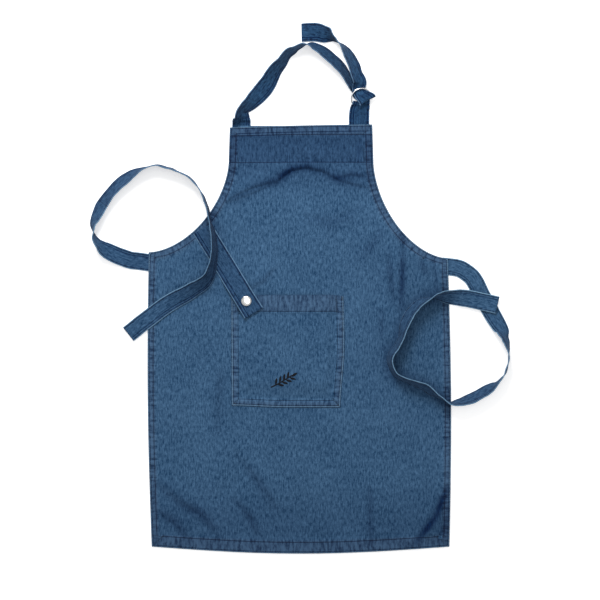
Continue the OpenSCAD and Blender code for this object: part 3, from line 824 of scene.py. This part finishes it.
def pocket_row(line):
    """A row of stitches on the pocket through places given across and down."""
    a, d = (resample(np.asarray(line, float) * POCKET_SIZE, 2.5) / POCKET_SIZE).T
    x, y = pocket_point(a, d)
    turned = pocket_edges(a, d)[3]
    top = pocket_height(a, d) + POCKET_RAISED * turned + (CLOTH + POCKET_EXTRA * turned) / 2 - 0.05
    return stitch_line(np.stack([x, y, top], -1), np.tile(UP, (len(x), 1)))


# -------- straps
def on_towel(along):
    """The place at a distance along the towel strap."""
    turn = math.radians(TOWEL_TURN)
    return TOWEL_START[0] + along * math.cos(turn), TOWEL_START[1] + along * math.sin(turn)


def build_towel_strap():
    """One strap from its seam under the tie, over the pocket's corner, to its free end."""
    path = [(-8, 4.15), (30, 4.15), (60, 4.15), (82, 4.15), (94, 4.6), (104, 8.15), (116, 9.9), (128, 11.5),
            (138, 12.7), (161, 12.7), (190, 12.6)]  # along the strap, and the height of its middle
    along, z = resample(spline(path, 8), 2.5).T
    turn = math.radians(TOWEL_TURN)
    across = np.tile([-math.sin(turn), math.cos(turn), 0.0], (len(along), 1))
    half = TOWEL_WIDTH / 2 + 0.5 * ease((along - 150) / 40)
    return Strap(np.stack([*on_towel(along), z], -1), across, half, thick=2.0, curl=0.35, seed=61)


def build_neck_strap():
    """One strap from the bib, round through both rings, and back to its free end."""
    first = route_strap(NECK_STRAP)
    turn = spline(NECK_FOLD, 4)
    axis = math.radians(FOLD_AXIS)
    ahead = np.array([-math.sin(axis), math.cos(axis)])
    wide = -np.array([math.cos(axis), math.sin(axis), 0.0])
    flat = np.array(FOLD_MID) + turn[:, :1] * ahead - turn[:, 3:4] * wide[:2]
    middle = (np.concatenate([flat, turn[:, 1:2]], 1), np.tile(wide, (len(turn), 1)), turn[:, 2] / 2)
    last = [part[1:] for part in route_strap(NECK_TAIL)]
    centre, across, half = (np.concatenate([part[k] for part in (first, middle, last)]) for k in range(3))
    run = distance_along(centre)
    apart = np.concatenate([[True], np.diff(run) > 1e-4])
    at = np.linspace(0, run[-1], int(run[-1] / 1.6))
    columns = np.concatenate([centre, across, half[:, None]], 1)[apart].T
    rows = np.stack([np.interp(at, run[apart], column) for column in columns], 1)
    for _ in range(3):
        rows[1:-1] = (rows[:-2] + 2 * rows[1:-1] + rows[2:]) / 4
    fold_from, fold_to = run[len(first[0])], run[len(first[0]) + len(turn) - 1]
    free = np.clip(np.maximum(fold_from - 8 - at, at - fold_to - 8) / 25, 0, 1)
    thick = np.interp(at, [0, 24, 40], [1.5, 1.6, STRAP])
    return Strap(rows[:, :3], rows[:, 3:6], rows[:, 6], thick=thick, curl=0.05 + 0.95 * free, seed=71)


def by_ring(along_bar, off_bar):
    """A place by the rings' bars."""
    turn = math.radians(RING_TURN)
    return (RING[0] + along_bar * math.cos(turn) - off_bar * math.sin(turn),
            RING[1] + along_bar * math.sin(turn) + off_bar * math.cos(turn))


def build_neck_tab():
    """A doubled strap from under the bib, round both ring bars, and back."""
    turn = math.radians(RING_TURN)
    low, high = BAR_Z - TAB_WRAP, BAR_Z + BAR_STEP + TAB_WRAP

    def by_bib(y, z, twist, half):
        return 116 + 2.2 * twist, y, z, turn * twist, half

    def by_bars(off, z, along, half):
        return *by_ring(along, off), z, turn * 0.9, half

    rows = [by_bib(303, 1.9, 0, 19), by_bib(318, 1.9, 0, 20), by_bib(330, 2.0, 0, 20.5),
            by_bib(343, 2.2, 0, 20.5), by_bib(355, 3.4, 0.4, 20),
            by_bars(-9, 5.6, -6, 18.8), by_bars(-5, 7.8, -4, 17.6), by_bars(-1.8, high, -2, 17)]
    for a in range(60, -61, -20):
        off, rise = TAB_WRAP * math.cos(math.radians(a)), TAB_WRAP * math.sin(math.radians(a))
        middle = high - TAB_WRAP if a > 0 else low + TAB_WRAP if a < 0 else (low + high) / 2
        rows.append((*by_ring(-1.2, off), middle + rise, turn, 16.8))
    rows += [by_bars(-1.8, low, -2, 17), by_bars(-6, 0.72, -4, 17), by_bars(-12, 0.7, -6, 17),
             by_bib(352, 0.75, 0.3, 19.5), by_bib(340, 0.75, 0, 20.5), by_bib(318, 0.75, 0, 20),
             by_bib(303, 0.75, 0, 19)]
    fine = resample(spline(rows, 8), 1.2)
    across = np.stack([np.cos(fine[:, 3]), np.sin(fine[:, 3]), np.zeros(len(fine))], -1)
    return Strap(fine[:, :3], across, fine[:, 4], thick=1.05, curl=0.12, seed=81)


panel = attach(build_panel(), "apron")

u = np.linspace(0, 1, 60)
right_side, left_side = side_edge(1, u), side_edge(-1, u)
right_bib, left_bib = bib_side(1, u[1:]), bib_side(-1, u[1:])
right_arm, left_arm = arm_edge(1, u), arm_edge(-1, u)
edge_strip("hem_right", right_side[2:-1], SIDE_HEM, "right_side_hem")
edge_strip("hem_left", left_side[1:-2][::-1], SIDE_HEM, "left_side_hem")
edge_strip("facing_right_arm", np.concatenate([right_arm[6:], right_bib]), ARM_HEM, "right_armhole_facing")
edge_strip("facing_left_arm", np.concatenate([left_arm[6:], left_bib])[::-1], ARM_HEM, "left_armhole_facing")
edge_strip("hem_bottom", GRID[0, 2:-2], BOTTOM_HEM, "bottom_hem")
bib_x = np.linspace(BIB_HALF - ARM_HEM, -BIB_HALF + ARM_HEM, 50)
edge_strip("bib_facing_cloth", np.stack([bib_x, np.full(50, BIB_TOP - 0.5)], -1), FACING, "bib_facing")

build_pocket()

left_tie = Strap(*route_strap(LEFT_TIE, seed=15), seed=51)
# the left tie is two pieces, and the cut is on the far side of its loop
cut = int(np.argmax((left_tie.centre[:, 1] > 168) & (left_tie.centre[:, 0] < -350)))
cloth = left_tie.mesh("left_tie_first", 0, cut, shade=0.28)
finish_piece(cloth, PANEL, "denim", "left_tie_root")
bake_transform(cloth)
# steep paints shade on the tie's faces where it stands on edge
cloth = left_tie.mesh("left_tie_loop", cut, shade=0.18, steep=0.36)
finish_piece(cloth, PANEL, "denim", "left_tie")
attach(cloth, "tie_left")

right_tie = Strap(*route_strap(RIGHT_TIE, seed=25), seed=55)
cloth = right_tie.mesh("right_tie_strap", steep=0.36)
finish_piece(cloth, PANEL, "denim", "right_tie_root", "right_tie")
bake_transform(cloth)

towel = build_towel_strap()
cloth = towel.mesh("towel_strap_cloth", shade=0.38)
finish_piece(cloth, PANEL, "denim", "towel_strap_root", "towel_strap")
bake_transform(cloth)

neck = build_neck_strap()
cloth = neck.mesh("neck_strap_cloth")
finish_piece(cloth, STRAPS, "strap_denim", "neck_strap")
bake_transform(cloth)

tab = build_neck_tab()
cloth = tab.mesh("neck_tab_cloth", shade=0.08)
finish_piece(cloth, STRAPS, "strap_denim", "neck_tab")
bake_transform(cloth)


# -------- stitching
def panel_row(line):
    """A row of stitches on the panel along a line."""
    line = resample(line, 2.5)
    z = panel_height(line[:, 0], line[:, 1]) + CLOTH / 2 - 0.04
    return stitch_line(np.concatenate([line, z[:, None]], 1), np.tile(UP, (len(line), 1)))


def inset(line, by):
    """A line moved to its left."""
    line = resample(line, 3)
    return line + by * to_left(line)


def sew(name, rows, *nodes, **size):
    """Rows of stitches in grey thread, as one piece."""
    return finish_piece(stitches(name, rows, **size), THREAD_GREY, "thread", *nodes)


edges = [right_side, left_side[::-1], np.concatenate([right_arm, right_bib]),
         np.concatenate([left_arm, left_bib])[::-1], GRID[0]]
hem_rows = [panel_row(inset(line, by))
            for line, by in zip(edges, (SIDE_ROW, SIDE_ROW, ARM_ROW, ARM_ROW, BOTTOM_ROW))]
hem_rows += [panel_row(inset(line, EDGE_ROW)) for line in edges]
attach(sew("stitches_hems", hem_rows, "hem_stitching"), "apron")

wide = np.linspace(-BIB_HALF + 1, BIB_HALF - 1, 60)
top = np.array([[-BIB_HALF + 1, BIB_TOP - 5.5], [0, BIB_TOP - 1.6], [BIB_HALF - 1, BIB_TOP - 0.5]])
bib_rows = [panel_row(np.stack([wide, bib_row_y(wide)], -1)),
            panel_row(np.stack([wide, facing_row_y(wide)], -1)), panel_row(top)]
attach(sew("stitches_bib", bib_rows, "bib_stitching"), "apron")

near, inner = (row / POCKET_SIZE for row in POCKET_ROWS)
mouth = MOUTH_HEM / POCKET_SIZE
pocket_rows = [pocket_row([(e, 0.01), (e, 1 - e), (1 - e, 1 - e), (1 - e, 0.01)]) for e in (near, inner)]
pocket_rows.append(pocket_row([(near, mouth), (1 - near, mouth)]))
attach(sew("stitches_pocket", pocket_rows, "pocket_stitching"), "apron")


def bartack(across, down, length, upright=False):
    """Threads packed side by side."""
    apart = 0.55
    count = int(length / apart)
    off = (np.arange(count) - (count - 1) / 2) * apart / POCKET_SIZE
    a = across + (0 * off if upright else off)
    d = down + (off if upright else 0 * off)
    x, y = pocket_point(a, d)
    z = pocket_height(a, d) + POCKET_RAISED + (CLOTH + POCKET_EXTRA) / 2 + 0.1
    along = np.array([1.0, 0, 0]) if upright else np.array([0, 1.0, 0])
    return np.stack([x, y, z], -1), np.tile(along, (count, 1)), np.tile(UP, (count, 1))


tacks = [bartack(near + 0.012, 0.985, 6), bartack(1 - near - 0.012, 0.985, 6),
         bartack(near, 0.02, 8, upright=True), bartack(1 - near, 0.02, 8, upright=True)]
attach(sew("pocket_tacks", tacks, "pocket_bartacks", length=2.2, radius=0.36), "apron")

first_rows = [left_tie.row(place, side, first, cut) for side, first in ((1, 8), (-1, 12))
              for place in STRAP_ROWS]
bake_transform(sew("stitches_left_tie_first", first_rows))
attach(sew("stitches_left_tie_loop", left_tie.rows(cut)), "tie_left")
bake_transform(sew("stitches_right_tie", right_tie.rows(8), "tie_stitching"))
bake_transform(sew("stitches_towel_strap", towel.rows(6)))
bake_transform(sew("stitches_neck_strap", neck.rows(18)))
tab_end = int(len(tab.centre) * 0.45)
tab_rows = [tab.row(place, 1, 20, tab_end) for place in (-0.8, -0.25, 0.25, 0.8)]
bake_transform(sew("stitches_neck_tab", tab_rows))

# -------- embroidered sprig
SPRIG, SPRIG_TURN = (-35, -184), math.radians(28)
STEM_WIDTH, THREADS_APART, SPRIG_THREAD = 2.6, 0.36, 0.5


def leaf(x, y, turn, length, width):
    """A satin-stitched leaf, its threads slanting across it: place, heading and length of each stitch."""
    slant, shortest = 58, 0.7
    t = np.arange(THREADS_APART / 2, length, THREADS_APART)
    wide = width * np.sin(np.pi * t / length) ** 0.8
    a = math.radians(turn)
    return (x + t * math.cos(a), y + t * math.sin(a), np.full(len(t), math.radians(turn + slant)),
            np.maximum(wide, shortest))


def sprig():
    """A stem with four pairs of leaves and one at its tip: place, heading and length of each stitch."""
    stem = np.arange(-28, 20, THREADS_APART)
    parts = [(stem, 0.8 * np.sin(stem / 9), np.full(len(stem), 1.0), np.full(len(stem), STEM_WIDTH))]
    for k in range(4):
        parts.append(leaf(-18 + 9 * k, 0.5, 48, 13, 5.2))
        parts.append(leaf(-13 + 9 * k, -0.5, -48, 13, 5.2))
    parts.append(leaf(18, 0, 0, 13, 6))
    px, py, heading, wide = [np.concatenate([p[k] for p in parts]) for k in range(4)]
    c, s = math.cos(SPRIG_TURN), math.sin(SPRIG_TURN)
    return c * px - s * py, s * px + c * py, heading + SPRIG_TURN, wide


def build_sprig():
    """The sprig's stitches, laid on the pocket."""
    px, py, heading, wide = sprig()
    x, y = SPRIG[0] + px, SPRIG[1] + py
    across = (x - POCKET_LEFT) / (POCKET_RIGHT - POCKET_LEFT)
    down = (POCKET_TOP - y) / POCKET_SIZE
    z = pocket_height(across, down) + CLOTH / 2 + 0.42
    along = np.stack([np.cos(heading), np.sin(heading), np.zeros(len(x))], -1)
    row = np.stack([x, y, z], -1), along, np.tile(UP, (len(x), 1))
    return stitches("embroidered_sprig", [row], length=wide[:, None], radius=SPRIG_THREAD)


piece = finish_piece(build_sprig(), THREAD_DARK, "dark_thread", "embroidered_motif")
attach(piece, "apron")

# -------- metal from the CAD
for node, metal in (("front_ring", CHROME), ("back_ring", CHROME), ("snap_cap", STEEL),
                    ("snap_socket", STEEL), ("snap_stud", STEEL), ("snap_post", STEEL)):
    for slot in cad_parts[node].material_slots:
        slot.material = metal

# -------- floor and light
floor_look = Nodes("pale_floor")
floor_look.set(Base_Color=(0.90, 0.90, 0.90, 1), Roughness=0.9, Emission_Color=(1.0, 1.0, 1.0, 1),
               Emission_Strength=0.42)
bpy.ops.mesh.primitive_plane_add(size=60, location=(0, 0, -0.0005))
floor = bpy.context.active_object
floor.name = "floor"
floor.data.materials.append(floor_look.material)

world = bpy.data.worlds.new("studio")
world.use_nodes = True
background = world.node_tree.nodes["Background"].inputs
background["Color"].default_value, background["Strength"].default_value = (1.0, 1.0, 1.0, 1), 0.55
bpy.context.scene.world = world


def area_light(name, place, size, watts):
    """A round soft light that faces the middle of the apron."""
    data = bpy.data.lights.new(name, "AREA")
    data.shape, data.size, data.energy = "DISK", size, watts
    light = bpy.data.objects.new(name, data)
    light.location = place
    light.rotation_euler = (-Vector(place)).to_track_quat("-Z", "Y").to_euler()
    bpy.context.scene.collection.objects.link(light)


area_light("key", (-0.35, 1.35, 1.35), 0.9, 32)
area_light("overhead", (0.1, 0.1, 3.4), 2.0, 18)
